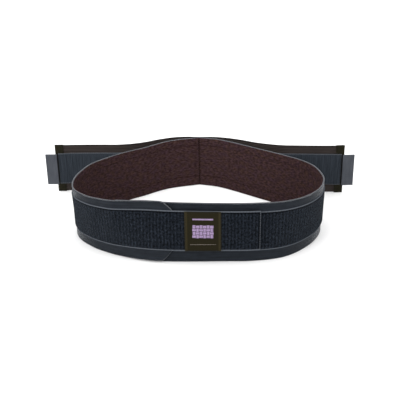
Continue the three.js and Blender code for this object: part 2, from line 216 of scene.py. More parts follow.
class PlanLine:
    """A smooth line in plan through given points, measured by the distance along it."""

    def __init__(self, points, meets_at_seam):
        points = [Vector(p) for p in points]
        beyond = [2 * points[0] - points[1], *points, 2 * points[-1] - points[-2]]
        self.meets_at_seam = meets_at_seam
        self.samples = []
        self.along = []
        spans = len(points) - 1
        for i in range(LINE_SAMPLES + 1):
            place = i / LINE_SAMPLES * spans
            k = min(int(place), spans - 1)
            sample = self.between(beyond[k : k + 4], place - k)
            step = (sample.xy - self.samples[-1].xy).length if self.samples else 0.0
            self.along.append((self.along[-1] if self.along else 0.0) + step)
            self.samples.append(sample)
        self.length = self.along[-1]

    @staticmethod
    def between(four, share):
        """The curve from the second to the third of four points, evened by the root of their distances."""
        p0, p1, p2, p3 = four
        d0, d1, d2 = (math.sqrt((b - a).length) for a, b in zip(four, four[1:]))
        leave = ((p1 - p0) / d0 - (p2 - p0) / (d0 + d1) + (p2 - p1) / d1) * d1
        arrive = ((p2 - p1) / d1 - (p3 - p1) / (d1 + d2) + (p3 - p2) / d2) * d1
        square = share * share
        cube = square * share
        at_start = p1 * (2 * cube - 3 * square + 1) + leave * (cube - 2 * square + share)
        return at_start + p2 * (3 * square - 2 * cube) + arrive * (cube - square)

    def raw(self, along):
        """The line's point at a distance along it, mirrored at the seam or run on straight past its ends."""
        if along < 0 or along > self.length:
            edge = 0.0 if along < 0 else self.length
            end = self.raw(edge)
            inside = self.raw(2 * edge - along)
            if self.meets_at_seam:
                return Vector((2 * end.x - inside.x, inside.y, inside.z))
            return 2 * end - inside
        k = min(max(bisect_left(self.along, along), 1), LINE_SAMPLES)
        share = (along - self.along[k - 1]) / (self.along[k] - self.along[k - 1])
        return self.samples[k - 1].lerp(self.samples[k], share)

    def crossing_of_middle(self, first, last):
        """Where the line crosses x = 0 between two distances along it."""
        for k in range(1, LINE_SAMPLES + 1):
            a, b = self.samples[k - 1], self.samples[k]
            if self.along[k - 1] >= first and self.along[k] <= last and a.x * b.x <= 0 and a.x != b.x:
                return from_to(self.along[k - 1], self.along[k], a.x / (a.x - b.x))
        raise ValueError("the line does not cross the middle")

    def put(self, along, out, level):
        """A point off the line: out from it, at a level, leaning with the panel's rim."""
        here = self.raw(along)
        run = (self.raw(along + NORMAL_SPAN) - self.raw(along - NORMAL_SPAN)).xy.normalized()
        reach = out + here.z * level / PANEL_HEIGHT
        return Vector((here.x + run.y * reach, here.y - run.x * reach, level)) + footprint_shift


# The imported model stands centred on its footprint. The left panel's corner at the seam tells the shift.
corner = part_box("webbing_left")[1]
footprint_shift = Vector((corner.x + SEAM_GAP / 2, corner.y - WAIST_DEPTH - WEBBING_THICKNESS, 0))

waist_points = [(x * WAIST_SIDE, y * WAIST_DEPTH, flare * RIM_FLARE) for x, y, flare in WAIST_LINE]
waist = PlanLine(waist_points, meets_at_seam=True)
strap_at_seam = WAIST_DEPTH + WEBBING_THICKNESS + SEWN_GAP
strap_points = [(out * STRAP_LENGTH, strap_at_seam - way * STRAP_FORWARD, 0) for out, way in STRAP_LINE]
straps = PlanLine(strap_points, meets_at_seam=False)

# Places along the waist line. The panels, and the straps behind them, butt together at the back seam.
front_middle = waist.crossing_of_middle(waist.length / 4, waist.length * 3 / 4)
seam_left = 0.0
seam_right = waist.length
tape_left_start = LOOP_TAPE_FROM_SEAM
tape_right_end = waist.length - LOOP_TAPE_FROM_SEAM
right_panel_start = front_middle + RIGHT_PANEL_END
left_lining_end = right_panel_start - LAP_GAP
taper_end = front_middle + LEFT_PANEL_END
taper_start = taper_end - TAPER_LENGTH
tongue_end = front_middle + TONGUE_END
label_start = front_middle + LABEL_START
label_end = label_start + LABEL_WIDTH
strap_middle = straps.crossing_of_middle(0, straps.length)

# The layers, counted outward from the panels' inner face.
LOOP_OUT = WEBBING_THICKNESS + SEWN_GAP + LOOP_TAPE_THICKNESS
LAP_LIFT = LOOP_OUT + LAP_GAP
LABEL_OUT = LOOP_OUT + SEWN_GAP + LABEL_THICKNESS


def lap_lift(along):
    """How far the left panel stands off the waist line where it laps over the right one."""
    return LAP_LIFT * smooth_share(along, left_lining_end - LAP_RAMP, left_lining_end - LAP_GAP)


def lap_raise(along):
    """How far the left panel's closing end, and the tongue on it, are raised off the floor."""
    return LAP_RAISE * smooth_share(along, taper_start - LAP_RAISE_LENGTH, taper_start)


def flush(along):
    """No step: level with the panel's lower edge, or flush with its inner face."""
    return 0.0


def taper_cut(along):
    """The share of the full cut that the taper has made."""
    share = min(max((along - taper_start) / TAPER_LENGTH, 0.0), 1.0)
    for (near, near_cut), (far, far_cut) in zip(TAPER_CUT, TAPER_CUT[1:]):
        if share <= far:
            return from_to(near_cut, far_cut, (share - near) / (far - near))
    return 1.0


def strap_low(distance):
    """A strap's lower edge: its upper one is level with the rim at the seam, and its end is on the floor."""
    share = min(distance / STRAP_LENGTH, 1.0)
    return from_to(PANEL_HEIGHT - ELASTIC_HEIGHT, CAP_OVERHANG, share)


def rows_across(width, near_edge, between):
    """Rows of a strip's mesh: some close ones in from each edge, and even ones no wider than between."""
    reach = near_edge[-1]
    count = max(1, math.ceil((width - 2 * reach) / between))
    middle = [reach + (width - 2 * reach) * i / count for i in range(1, count)]
    return [*near_edge, *middle, *(width - y for y in reversed(near_edge))]


# A running stitch's length, width and height, its pitch, and how high the thread's middle lies on the cloth.
RUNNING_STITCH = (2.7 * MM, 0.55 * MM, 0.45 * MM)
RUNNING_PITCH = 3.4 * MM
THREAD_LIFT = 0.05 * MM

# Each stitch is a bead with this many sides and rings.
BEAD_SIDES = 6
BEAD_RINGS = 4

# How far in from a cloth's edge its stitches run, and the levels of the two rows that hold the loop tape.
ROW_FROM_EDGE = 1.1 * MM
TAPE_STITCHING = (LOOP_TAPE_LOW + ROW_FROM_EDGE, LOOP_TAPE_TOP - ROW_FROM_EDGE)

# Each cloth's two maps: its flat pattern, and the distance in from its ends and its edges.
FLAT_MAP = "flat"
EDGE_MAP = "edges"


class Strip:
    """A strip of cloth, cut flat with its length on x, width on y and thickness on z, then bent on a line."""

    def __init__(self, name, line, start, end, width, rows):
        self.name = name
        self.line = line
        self.start = start
        self.end = end
        self.width = width
        self.rows = rows
        self.column = COLUMN
        self.low = flush
        self.raised = flush
        self.high = lambda along: self.low(along) + width
        self.edge_levels = lambda along: (self.low(along), self.high(along))
        self.inner = flush
        self.outer = flush
        self.relief = lambda along, across, side: 0.0

    def place(self, along, across, side, height=0.0):
        """Where a point of the flat strip comes to lie: side is 0 on the inner face and 1 on the outer."""
        out = from_to(self.inner(along), self.outer(along), side) + self.relief(along, across, side)
        level = from_to(self.low(along), self.high(along), across / self.width)
        return self.line.put(along, out + height, level + self.raised(along))

    def cut(self, thickness, rounding):
        """The flat piece, with its border edges rounded."""
        columns = max(1, math.ceil((self.end - self.start) / self.column))
        last_row = len(self.rows) - 1
        bm = bmesh.new()
        bmesh.ops.create_grid(bm, x_segments=columns, y_segments=last_row, size=0.5)
        for vert in bm.verts:
            column = round((vert.co.x + 0.5) * columns)
            row = round((vert.co.y + 0.5) * last_row)
            vert.co = (from_to(self.start, self.end, column / columns), self.rows[row], 0)
        made = bmesh.ops.extrude_face_region(bm, geom=bm.faces[:])["geom"]
        upper = [item for item in made if isinstance(item, bmesh.types.BMVert)]
        bmesh.ops.translate(bm, vec=(0, 0, thickness), verts=upper)
        bmesh.ops.recalc_face_normals(bm, faces=bm.faces[:])
        border = [edge for edge in bm.edges if edge.calc_face_angle(0) > SHARP_ANGLE]
        bmesh.ops.bevel(
            bm,
            geom=border,
            offset=rounding * thickness,
            offset_type="OFFSET",
            affect="EDGES",
            segments=2,
            profile=0.5,
            material=-1,
        )
        bm.verts.index_update()
        return bm

    def make(self, finish, thickness, rounding=0.4):
        """Cuts the strip, writes its flat pattern into its maps, and bends it into place."""
        bm = self.cut(thickness, rounding)
        flat = bm.loops.layers.uv.new(FLAT_MAP)
        edges = bm.loops.layers.uv.new(EDGE_MAP)
        maps = {}
        for vert in bm.verts:
            along, across, depth = vert.co
            level = from_to(self.low(along), self.high(along), across / self.width)
            low_edge, high_edge = self.edge_levels(along)
            from_end = min(along - self.start, self.end - along)
            from_edge = min(level - low_edge, high_edge - level)
            maps[vert.index] = ((along, level), (from_end, from_edge))
            vert.co = self.place(along, across, depth / thickness)
        for face in bm.faces:
            face.smooth = True
            for loop in face.loops:
                loop[flat].uv, loop[edges].uv = maps[loop.vert.index]
        bmesh.ops.recalc_face_normals(bm, faces=bm.faces[:])
        return finished_piece(self.name, bm, finish)

    def sew(self, name, rows, finish, slot, side=1, stitch=RUNNING_STITCH, pitch=RUNNING_PITCH):
        """Rows of stitches on a face of the strip, each row between two places given as (along, across)."""
        bm = bmesh.new()
        lie_down = Matrix.Rotation(math.pi / 2, 4, "Y")
        shape = Matrix.Diagonal((*(size / 2 for size in stitch), 1))
        for row_start, row_end in rows:
            run = Vector((*row_end, 0)) - Vector((*row_start, 0))
            steps = max(1, round(run.length / pitch))
            step = run / steps
            turn = Matrix.Rotation(math.atan2(run.y, run.x), 4, "Z")
            centre = Matrix.Translation(Vector((*row_start, THREAD_LIFT)) + step / 2)
            first = bmesh.ops.create_uvsphere(
                bm,
                u_segments=BEAD_SIDES,
                v_segments=BEAD_RINGS,
                radius=1,
                matrix=centre @ turn @ shape @ lie_down,
            )["verts"]
            if steps > 1:
                faces = {face for vert in first for face in vert.link_faces}
                bmesh.ops.spin(
                    bm,
                    geom=first + list(faces),
                    cent=(0, 0, 0),
                    axis=(0, 0, 1),
                    dvec=step,
                    angle=0,
                    steps=steps - 1,
                    use_duplicate=True,
                )
        outward = 2 * side - 1
        for vert in bm.verts:
            along, across, height = vert.co
            vert.co = self.place(along, across, side, height * outward)
        bmesh.ops.recalc_face_normals(bm, faces=bm.faces[:])
        for face in bm.faces:
            face.smooth = True
        piece = finished_piece(name, bm, finish)
        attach(piece, "root")


def finished_piece(name, bm, finish):
    """The object of this name, at the origin, with its place in its mesh."""
    mesh = bpy.data.meshes.new(name)
    bm.to_mesh(mesh)
    bm.free()
    mesh.materials.append(finish)
    piece = bpy.data.objects.new(name, mesh)
    bpy.context.scene.collection.objects.link(piece)
    return piece


def shown_colour(red, green, blue):
    """A colour from a screen's levels of 0 to 255, in the light's own scale."""
    shares = [level / 255 for level in (red, green, blue)]
    linear = [s / 12.92 if s <= 0.04045 else ((s + 0.055) / 1.055) ** 2.4 for s in shares]
    return (*linear, 1.0)


def plain_material(name, roughness, specular):
    """A material and its shader."""
    material = bpy.data.materials.new(name)
    material.use_nodes = True
    shader = material.node_tree.nodes["Principled BSDF"]
    shader.inputs["Roughness"].default_value = roughness
    shader.inputs["Specular IOR Level"].default_value = specular
    return material, shader


def add_node(tree, kind, *inputs, **settings):
    """A new node with these settings, its inputs linked or set in their order. None leaves one as it is."""
    node = tree.nodes.new(kind)
    for setting, value in settings.items():
        setattr(node, setting, value)
    for socket, value in zip(node.inputs, inputs):
        if isinstance(value, bpy.types.NodeSocket):
            tree.links.new(value, socket)
        elif value is not None:
            socket.default_value = value
    return node


# Where a mix node has its first colour, with the second after it, and their mix.
MIX_UNDER = 6
MIX_RESULT = 2


def mixed_colour(tree, share, under, over):
    """The colour under, covered by the colour over to this share."""
    skipped = [None] * (MIX_UNDER - 1)
    node = add_node(tree, "ShaderNodeMix", share, *skipped, under, over, data_type="RGBA")
    return node.outputs[MIX_RESULT]


class Finish:
    """A cloth's finish, worked out from a point's place on the flat piece and its distance from the edges."""

    def __init__(self, name, roughness, specular, sheen=0.0, sheen_roughness=0.5, sheen_tint=(1, 1, 1)):
        self.material, self.shader = plain_material(name, roughness, specular)
        self.tree = self.material.node_tree
        self.shader.inputs["Sheen Weight"].default_value = sheen
        self.shader.inputs["Sheen Roughness"].default_value = sheen_roughness
        self.shader.inputs["Sheen Tint"].default_value = (*sheen_tint, 1)
        flat = self.add("ShaderNodeUVMap", uv_map=FLAT_MAP).outputs[0]
        edges = self.add("ShaderNodeUVMap", uv_map=EDGE_MAP).outputs[0]
        self.along, self.across = self.add("ShaderNodeSeparateXYZ", flat).outputs[:2]
        self.from_end, self.from_edge = self.add("ShaderNodeSeparateXYZ", edges).outputs[:2]

    def add(self, kind, *inputs, **settings):
        return add_node(self.tree, kind, *inputs, **settings)

    def math(self, operation, *inputs):
        return self.add("ShaderNodeMath", *inputs, operation=operation).outputs[0]

    def ribs(self, where, pitch):
        """Even ribs, from 0 in the grooves to 1 on the crowns."""
        wave = self.math("SINE", self.math("MULTIPLY", where, math.tau / pitch))
        return self.math("MULTIPLY_ADD", wave, 0.5, 0.5)

    def cells(self, length, width):
        """The place on the flat piece, counted in cells of this length and width."""
        along = self.math("DIVIDE", self.along, length)
        across = self.math("DIVIDE", self.across, width)
        return self.add("ShaderNodeCombineXYZ", along, across).outputs[0]

    def speckle(self, length, width, detail=2.0):
        """Soft irregular patches of about this length and width."""
        return self.add("ShaderNodeTexNoise", self.cells(length, width), None, 1.0, detail).outputs[0]

    def tufts(self, size):
        """Small round tufts, 1 at their middles."""
        from_middle = self.add("ShaderNodeTexVoronoi", self.cells(size, size)).outputs[0]
        return self.math("SUBTRACT", 1.0, from_middle)

    def below(self, where, edge, soft):
        """1 below an edge and 0 above it, softly."""
        limits = (edge - soft, edge + soft, 1.0, 0.0)
        return self.add("ShaderNodeMapRange", where, *limits, interpolation_type="SMOOTHSTEP").outputs[0]

    def mixed(self, share, under, over):
        return mixed_colour(self.tree, share, under, over)

    def spread(self, value, low=0.3, high=0.7):
        """Stretches a soft value's middle range over the whole of 0 to 1."""
        return self.add("ShaderNodeMapRange", value, low, high, 0.0, 1.0).outputs[0]

    def done(self, colour, height, depth):
        """Sets the colour, and the relief whose height of 1 stands this deep."""
        self.tree.links.new(colour, self.shader.inputs["Base Color"])
        bump = self.add("ShaderNodeBump", 1.0, depth, None)
        self.tree.links.new(height, bump.inputs["Height"])
        self.tree.links.new(bump.outputs[0], self.shader.inputs["Normal"])
        return self.material


def grey_webbing():
    cloth = Finish(
        "grey_webbing",
        roughness=0.5,
        specular=0.06,
        sheen=0.5,
        sheen_roughness=0.16,
        sheen_tint=(0.92, 0.95, 1),
    )
    streaks = cloth.spread(cloth.speckle(50 * MM, 1.4 * MM))
    patches = cloth.spread(cloth.speckle(9 * MM, 4 * MM))
    cords = cloth.ribs(cloth.across, 1.3 * MM)
    picks = cloth.ribs(cloth.along, 0.9 * MM)
    ground = cloth.mixed(streaks, shown_colour(12, 14, 18), shown_colour(25, 29, 35))
    ground = cloth.mixed(cloth.math("MULTIPLY", patches, 0.3), ground, shown_colour(38, 42, 49))
    cords_lit = cloth.mixed(cloth.math("MULTIPLY", cords, 0.2), ground, shown_colour(55, 61, 67))
    # The rim is a lighter selvedge along the woven edges, and a painted highlight along the left panel's
    # upper taper cut.
    rim = cloth.below(cloth.from_edge, 0.55 * MM, 0.3 * MM)
    colour = cloth.mixed(rim, cords_lit, shown_colour(82, 84, 88))
    height = cloth.math("MULTIPLY_ADD", picks, 0.5, cords)
    return cloth.done(colour, height, 0.15 * MM)


def navy_loop_pile():
    cloth = Finish(
        "navy_loop_pile",
        roughness=0.95,
        specular=0.02,
        sheen=0.07,
        sheen_roughness=0.12,
        sheen_tint=(0.8, 0.9, 1),
    )
    tufts = cloth.tufts(1.5 * MM)
    columns = cloth.ribs(cloth.along, 4.4 * MM)
    clumps = cloth.spread(cloth.speckle(2.1 * MM, 2.9 * MM, 3.0))
    patches = cloth.spread(cloth.speckle(14 * MM, 9 * MM))
    pile_height = cloth.math("MULTIPLY_ADD", columns, 0.4, cloth.math("ADD", tufts, clumps))
    # The pile's crowns take the lit colour and its hollows a near-black one: painted light on the crowns and
    # painted shade in the hollows.
    lit = cloth.mixed(patches, shown_colour(44, 51, 62), shown_colour(59, 67, 79))
    pile = cloth.mixed(cloth.spread(pile_height, 0.8, 2.3), shown_colour(10, 12, 15), lit)
    picks = cloth.ribs(cloth.along, 1.8 * MM)
    selvedge = cloth.mixed(picks, shown_colour(62, 67, 74), shown_colour(88, 92, 98))
    # Under the upper selvedge, and in from the tape's ends, the pile is darkened to near black: partly a
    # stitched channel, partly painted shade. The lower selvedge has none.
    tape_middle = LOOP_TAPE_LOW + LOOP_TAPE_WIDTH / 2
    upper_half = cloth.below(cloth.math("SUBTRACT", 2 * tape_middle, cloth.across), tape_middle, 1 * MM)
    channel_and_shade = cloth.math("MULTIPLY", cloth.below(cloth.from_edge, 3.4 * MM, 0.4 * MM), upper_half)
    end_channel_and_shade = cloth.below(cloth.from_end, 3.9 * MM, 0.3 * MM)
    channel_shade = cloth.math("MULTIPLY", cloth.math("MAXIMUM", channel_and_shade, end_channel_and_shade), 0.7)
    pile_with_channel_shade = cloth.mixed(channel_shade, pile, shown_colour(8, 10, 14))
    border = cloth.math(
        "MAXIMUM",
        cloth.below(cloth.from_edge, 1.5 * MM, 0.3 * MM),
        cloth.math("MULTIPLY", cloth.below(cloth.from_end, 1.3 * MM, 0.3 * MM), 0.35),
    )
    colour = cloth.mixed(border, pile_with_channel_shade, selvedge)
    height = cloth.math("MULTIPLY", pile_height, cloth.math("SUBTRACT", 1.0, border))
    return cloth.done(colour, height, 0.9 * MM)


def maroon_lining():
    cloth = Finish("maroon_lining", roughness=0.95, specular=0.02)
    patches = cloth.spread(cloth.speckle(9 * MM, 7 * MM), 0.35, 0.65)
    nap = cloth.spread(cloth.speckle(5 * MM, 2.4 * MM, 3.0), 0.36, 0.64)
    wales = cloth.ribs(cloth.along, 1.6 * MM)
    courses = cloth.ribs(cloth.across, 2.6 * MM)
    ground = cloth.mixed(patches, shown_colour(61, 44, 40), shown_colour(58, 42, 47))
    colour = cloth.mixed(nap, cloth.mixed(0.75, ground, shown_colour(24, 16, 16)), ground)
    seam = cloth.below(cloth.from_end, 1.6 * MM, 0.5 * MM)
    for level in TAPE_STITCHING:
        from_stitching = cloth.math("ABSOLUTE", cloth.math("SUBTRACT", cloth.across, level))
        row = cloth.math("MULTIPLY", cloth.below(from_stitching, 0.8 * MM, 0.4 * MM), 0.6)
        seam = cloth.math("MAXIMUM", seam, row)
    colour = cloth.mixed(cloth.math("MULTIPLY", seam, 0.8), colour, shown_colour(22, 9, 10))
    height = cloth.math("MULTIPLY_ADD", wales, 0.25, cloth.math("MULTIPLY_ADD", courses, 0.2, nap))
    return cloth.done(colour, height, 0.6 * MM)


def brown_elastic():
    cloth = Finish("brown_elastic", roughness=0.85, specular=0.05)
    cords = cloth.ribs(cloth.across, 2.6 * MM)
    picks = cloth.ribs(cloth.along, 1.1 * MM)
    streaks = cloth.spread(cloth.speckle(50 * MM, 2 * MM))
    ground = cloth.mixed(streaks, shown_colour(33, 29, 28), shown_colour(48, 43, 41))
    colour = cloth.mixed(cloth.math("MULTIPLY", cords, 0.35), ground, shown_colour(64, 57, 55))
    rim = cloth.below(cloth.from_edge, 1.4 * MM, 0.4 * MM)
    colour = cloth.mixed(cloth.math("MULTIPLY", rim, 0.6), colour, shown_colour(20, 18, 16))
    height = cloth.math("MULTIPLY_ADD", picks, 0.3, cords)
    return cloth.done(colour, height, 0.3 * MM)


def olive_binding():
    cloth = Finish("olive_binding", roughness=0.6, specular=0.06)
    twill = cloth.ribs(cloth.math("ADD", cloth.along, cloth.across), 1.3 * MM)
    patches = cloth.spread(cloth.speckle(5 * MM, 4 * MM))
    ground = cloth.mixed(patches, shown_colour(17, 15, 8), shown_colour(27, 25, 14))
    colour = cloth.mixed(cloth.math("MULTIPLY", twill, 0.3), ground, shown_colour(39, 36, 22))
    return cloth.done(colour, twill, 0.15 * MM)


def navy_hook_tape():
    cloth = Finish("navy_hook_tape", roughness=0.65, specular=0.08)
    columns = cloth.ribs(cloth.along, 3.3 * MM)
    hooks = cloth.tufts(1.1 * MM)
    streaks = cloth.spread(cloth.speckle(2.2 * MM, 34 * MM))
    ground = cloth.mixed(streaks, shown_colour(24, 29, 35), shown_colour(42, 47, 54))
    field = cloth.mixed(cloth.math("MULTIPLY", columns, 0.25), ground, shown_colour(48, 54, 61))
    border = cloth.below(cloth.from_edge, 1.5 * MM, 0.3 * MM)
    colour = cloth.mixed(border, field, shown_colour(70, 74, 80))
    height = cloth.math("MULTIPLY_ADD", columns, 0.6, cloth.math("MULTIPLY", hooks, 0.6))
    return cloth.done(colour, height, 0.35 * MM)


def pale_grey_tab():
    cloth = Finish("pale_grey_tab", roughness=0.5, specular=0.12)
    columns = cloth.ribs(cloth.along, 2.4 * MM)
    # The lighter streaks are painted shine.
    shine = cloth.spread(cloth.speckle(5 * MM, 25 * MM))
    ground = cloth.mixed(shine, shown_colour(57, 60, 66), shown_colour(67, 70, 76))
    rim = cloth.below(cloth.from_edge, 1.0 * MM, 0.3 * MM)
    colour = cloth.mixed(rim, ground, shown_colour(78, 81, 87))
    return cloth.done(colour, columns, 0.1 * MM)


def black_hook():
    cloth = Finish("black_hook", roughness=0.85, specular=0.1)
    hooks = cloth.tufts(1.2 * MM)
    colour = cloth.mixed(hooks, shown_colour(14, 14, 15), shown_colour(32, 32, 34))
    return cloth.done(colour, hooks, 0.3 * MM)


def olive_label():
    cloth = Finish("olive_label", roughness=0.6, specular=0.05)
    satin = cloth.ribs(cloth.across, 0.45 * MM)
    floats = cloth.speckle(2.5 * MM, 0.45 * MM)
    ground = cloth.mixed(floats, shown_colour(22, 20, 9), shown_colour(33, 29, 16))
    # The turned-under side edges are lighter: a painted highlight on the folds.
    folded = cloth.below(cloth.from_end, 3.4 * MM, 0.3 * MM)
    colour = cloth.mixed(cloth.math("MULTIPLY", folded, 0.7), ground, shown_colour(46, 41, 25))
    return cloth.done(colour, satin, 0.06 * MM)


def mottled(name, roughness, cells_in_metre, under, over):
    """A material mottled between two colours in the belt's own space, for a piece with no flat pattern."""
    material, shader = plain_material(name, roughness, 0.1)
    tree = material.node_tree
    place = add_node(tree, "ShaderNodeTexCoord").outputs["Object"]
    cloud = add_node(tree, "ShaderNodeTexNoise", place, None, cells_in_metre).outputs[0]
    tree.links.new(mixed_colour(tree, cloud, under, over), shader.inputs["Base Color"])
    return material


# The thread's twists in a metre.
THREAD_TWIST = 900


def thread(name, crown, root):
    """Sewing thread, whose twist is a fine mottle."""
    return mottled(name, 0.6, THREAD_TWIST, root, crown)


GREY_WEBBING = grey_webbing()
NAVY_LOOP_PILE = navy_loop_pile()
MAROON_LINING = maroon_lining()
BROWN_ELASTIC = brown_elastic()
OLIVE_BINDING = olive_binding()
NAVY_HOOK_TAPE = navy_hook_tape()
PALE_GREY_TAB = pale_grey_tab()
BLACK_HOOK = black_hook()
OLIVE_LABEL = olive_label()
GREY_THREAD = thread("grey_thread", shown_colour(100, 104, 110), shown_colour(68, 72, 78))
MAROON_THREAD = thread("maroon_thread", shown_colour(58, 42, 38), shown_colour(34, 24, 22))
DARK_THREAD = thread("dark_thread", shown_colour(26, 27, 30), shown_colour(12, 13, 15))
LILAC_THREAD = thread("lilac_thread", shown_colour(166, 146, 178), shown_colour(128, 108, 142))
CREAM_THREAD = thread("cream_thread", shown_colour(176, 166, 158), shown_colour(120, 112, 104))


def stands_for(piece, node):
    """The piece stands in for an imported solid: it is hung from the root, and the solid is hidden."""
    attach(piece, "root")
    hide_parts(node)


# The rows across each cloth, with close ones in from each edge.
NEAR_EDGE = [0, 0.7 * MM, 1.4 * MM]
NEAR_FINE_EDGE = [0, 0.5 * MM, 1 * MM]
NEAR_TAPE_EDGE = [0, 0.8 * MM, 1.6 * MM, 2.2 * MM, 2.7 * MM, 3.2 * MM, 4 * MM]
PANEL_ROWS = rows_across(PANEL_HEIGHT, [*NEAR_EDGE, 2.2 * MM, 3 * MM], PANEL_ROW)
TAPE_ROWS = rows_across(LOOP_TAPE_WIDTH, NEAR_TAPE_EDGE, TAPE_ROW)

# The cloths' relief: how far each stands out or is drawn in, and the width that it takes.
SELVEDGE = 1.6 * MM
WEBBING_ROLL = 0.15 * MM
ROLL_WIDTH = 1 * MM
LINING_PUFF = 0.45 * MM
PUFF_START = 0.3 * MM
PUFF_END = 4 * MM
PILE_HEIGHT = 0.8 * MM
PILE_SHOULDER = 1.1 * MM
HOOK_HEIGHT = 0.5 * MM
HOOK_SHOULDER = 0.8 * MM
LABEL_FOLD = 0.25 * MM
LABEL_FOLD_START = 2.6 * MM
LABEL_FOLD_END = 3.6 * MM

# How far the label's back is sunk in the pile, and the elastic's end lies short of the binding's fold.
LABEL_SUNK = 0.1 * MM
ELASTIC_IN_CAP = 1.2 * MM

# The stitching at the seam and at the straps' ends.
ROW_FROM_SEAM = 3 * MM
STRAP_SEAM_ROWS = (3.5 * MM, 7 * MM)
ZIGZAG_REACH = 1.6 * MM
ZIGZAG_STEP = 1.9 * MM
ZIGZAG_STITCH = (3.7 * MM, 0.6 * MM, 0.5 * MM)
BAR_TACK = (TAB_GAP, 0.8 * MM, 0.9 * MM)
BAR_TACK_STEP = 0.9 * MM

# The label's threads.
BASKET_COLUMNS = 6
BASKET_ROWS = 4
BASKET_SQUARE = 4.6 * MM
BASKET_BARS = 6
BASKET_BAR = (4.5 * MM, 0.8 * MM, 0.35 * MM)
BAND_BAR = (2.6 * MM, 0.8 * MM, 0.35 * MM)
BAND_LEVEL = 45 * MM
BAND_BARS = 35
LOWER_LINE_LEVEL = 9.5 * MM
LOWER_LINE_LENGTH = 34 * MM
LABEL_STITCH = (1.6 * MM, 0.5 * MM, 0.3 * MM)
LABEL_STITCH_PITCH = 2.1 * MM


def rolled_edge(along, across, side):
    """The webbing is a little thicker along its two woven edges."""
    from_edge = min(across, PANEL_HEIGHT - across)
    return side * WEBBING_ROLL * (1 - smooth_share(from_edge, SELVEDGE, SELVEDGE + ROLL_WIDTH))


def lining_puff(along, across, side):
    """The lining is drawn in along the two rows of stitching that hold the loop tape."""
    from_stitching = min(abs(across - level) for level in TAPE_STITCHING)
    return (1 - side) * LINING_PUFF * (1 - smooth_share(from_stitching, PUFF_START, PUFF_END))


def pile_shoulder(along, across, side):
    """The tape's woven edges lie lower than the pile between them."""
    from_edge = min(across, LOOP_TAPE_WIDTH - across)
    return -side * PILE_HEIGHT * (1 - smooth_share(from_edge, SELVEDGE, SELVEDGE + PILE_SHOULDER))


def hook_shoulder(along, across, side):
    """The hook tape's woven edges lie lower than the hooks between them."""
    from_edge = min(across, HOOK_TAPE_WIDTH - across)
    return (1 - side) * HOOK_HEIGHT * (1 - smooth_share(from_edge, SELVEDGE, SELVEDGE + HOOK_SHOULDER))


def folded_sides(along, across, side):
    """The label's two side edges are turned under, so they stand a little higher."""
    from_side = min(along - label_start, label_end - along)
    return -side * LABEL_FOLD * smooth_share(from_side, LABEL_FOLD_START, LABEL_FOLD_END)


def border_rows(start, end, low, high):
    """Four rows of stitches round a rectangle."""
    corners = [(start, low), (end, low), (end, high), (start, high)]
    return list(zip(corners, corners[1:] + corners[:1]))


def make_panel(side, start, end, lift, raised):
    strip = Strip(f"webbing_{side}_cloth", waist, start, end, PANEL_HEIGHT, PANEL_ROWS)
    strip.inner = lift
    strip.outer = lambda along: lift(along) + WEBBING_THICKNESS
    strip.raised = raised
    strip.relief = rolled_edge
    if side == "left":
        strip.low = lambda along: from_to(0.0, LOOP_TAPE_LOW - TAPER_MARGIN, taper_cut(along))
        strip.high = lambda along: from_to(PANEL_HEIGHT, LOOP_TAPE_TOP + TAPER_MARGIN, taper_cut(along))
        # The rim's lighter line follows the upper taper's cut as a painted highlight, and not the lower
        # taper's cut.
        strip.edge_levels = lambda along: (0.0, strip.high(along))
    piece = strip.make(GREY_WEBBING, WEBBING_THICKNESS)
    stands_for(piece, f"webbing_{side}")


def make_lining(side, start, end, lift, raised, sewn_from, sewn_to):
    strip = Strip(f"lining_{side}_cloth", waist, start, end, PANEL_HEIGHT, PANEL_ROWS)
    strip.low = lambda along: LINING_INSET
    strip.high = lambda along: PANEL_HEIGHT - LINING_INSET
    strip.inner = lambda along: lift(along) - SEWN_GAP - LINING_THICKNESS
    strip.outer = lambda along: lift(along) - CLOTH_GAP
    strip.raised = raised
    strip.relief = lining_puff
    piece = strip.make(MAROON_LINING, LINING_THICKNESS)
    stands_for(piece, f"lining_{side}")
    rows = [((sewn_from, level), (sewn_to, level)) for level in TAPE_STITCHING]
    seam_row = start + ROW_FROM_SEAM if side == "left" else end - ROW_FROM_SEAM
    rows.append(((seam_row, ROW_FROM_EDGE), (seam_row, PANEL_HEIGHT - ROW_FROM_EDGE)))
    strip.sew(f"lining_{side}_stitches", rows, MAROON_THREAD, f"lining_{side}", side=0)


def make_loop_tape(side, start, end, lift, raised):
    strip = Strip(f"loop_tape_{side}_cloth", waist, start, end, LOOP_TAPE_WIDTH, TAPE_ROWS)
    strip.low = lambda along: LOOP_TAPE_LOW
    strip.inner = lambda along: lift(along) + WEBBING_THICKNESS + CLOTH_GAP
    strip.outer = lambda along: lift(along) + LOOP_OUT
    strip.raised = raised
    strip.relief = pile_shoulder
    piece = strip.make(NAVY_LOOP_PILE, LOOP_TAPE_THICKNESS, rounding=0.2)
    stands_for(piece, f"loop_tape_{side}")
    edge = ROW_FROM_EDGE
    rows = border_rows(start + edge, end - edge, edge, LOOP_TAPE_WIDTH - edge)
    strip.sew(f"loop_tape_{side}_stitches", rows, GREY_THREAD, f"loop_tape_{side}")


make_panel("left", seam_left, taper_end, lap_lift, lap_raise)
make_panel("right", right_panel_start, seam_right, flush, flush)
make_lining("left", seam_left, left_lining_end, lap_lift, lap_raise, tape_left_start, left_lining_end)
make_lining("right", right_panel_start, seam_right, flush, flush, right_panel_start, tape_right_end)
make_loop_tape("left", tape_left_start, tongue_end, lap_lift, lap_raise)
make_loop_tape("right", right_panel_start, tape_right_end, flush, flush)


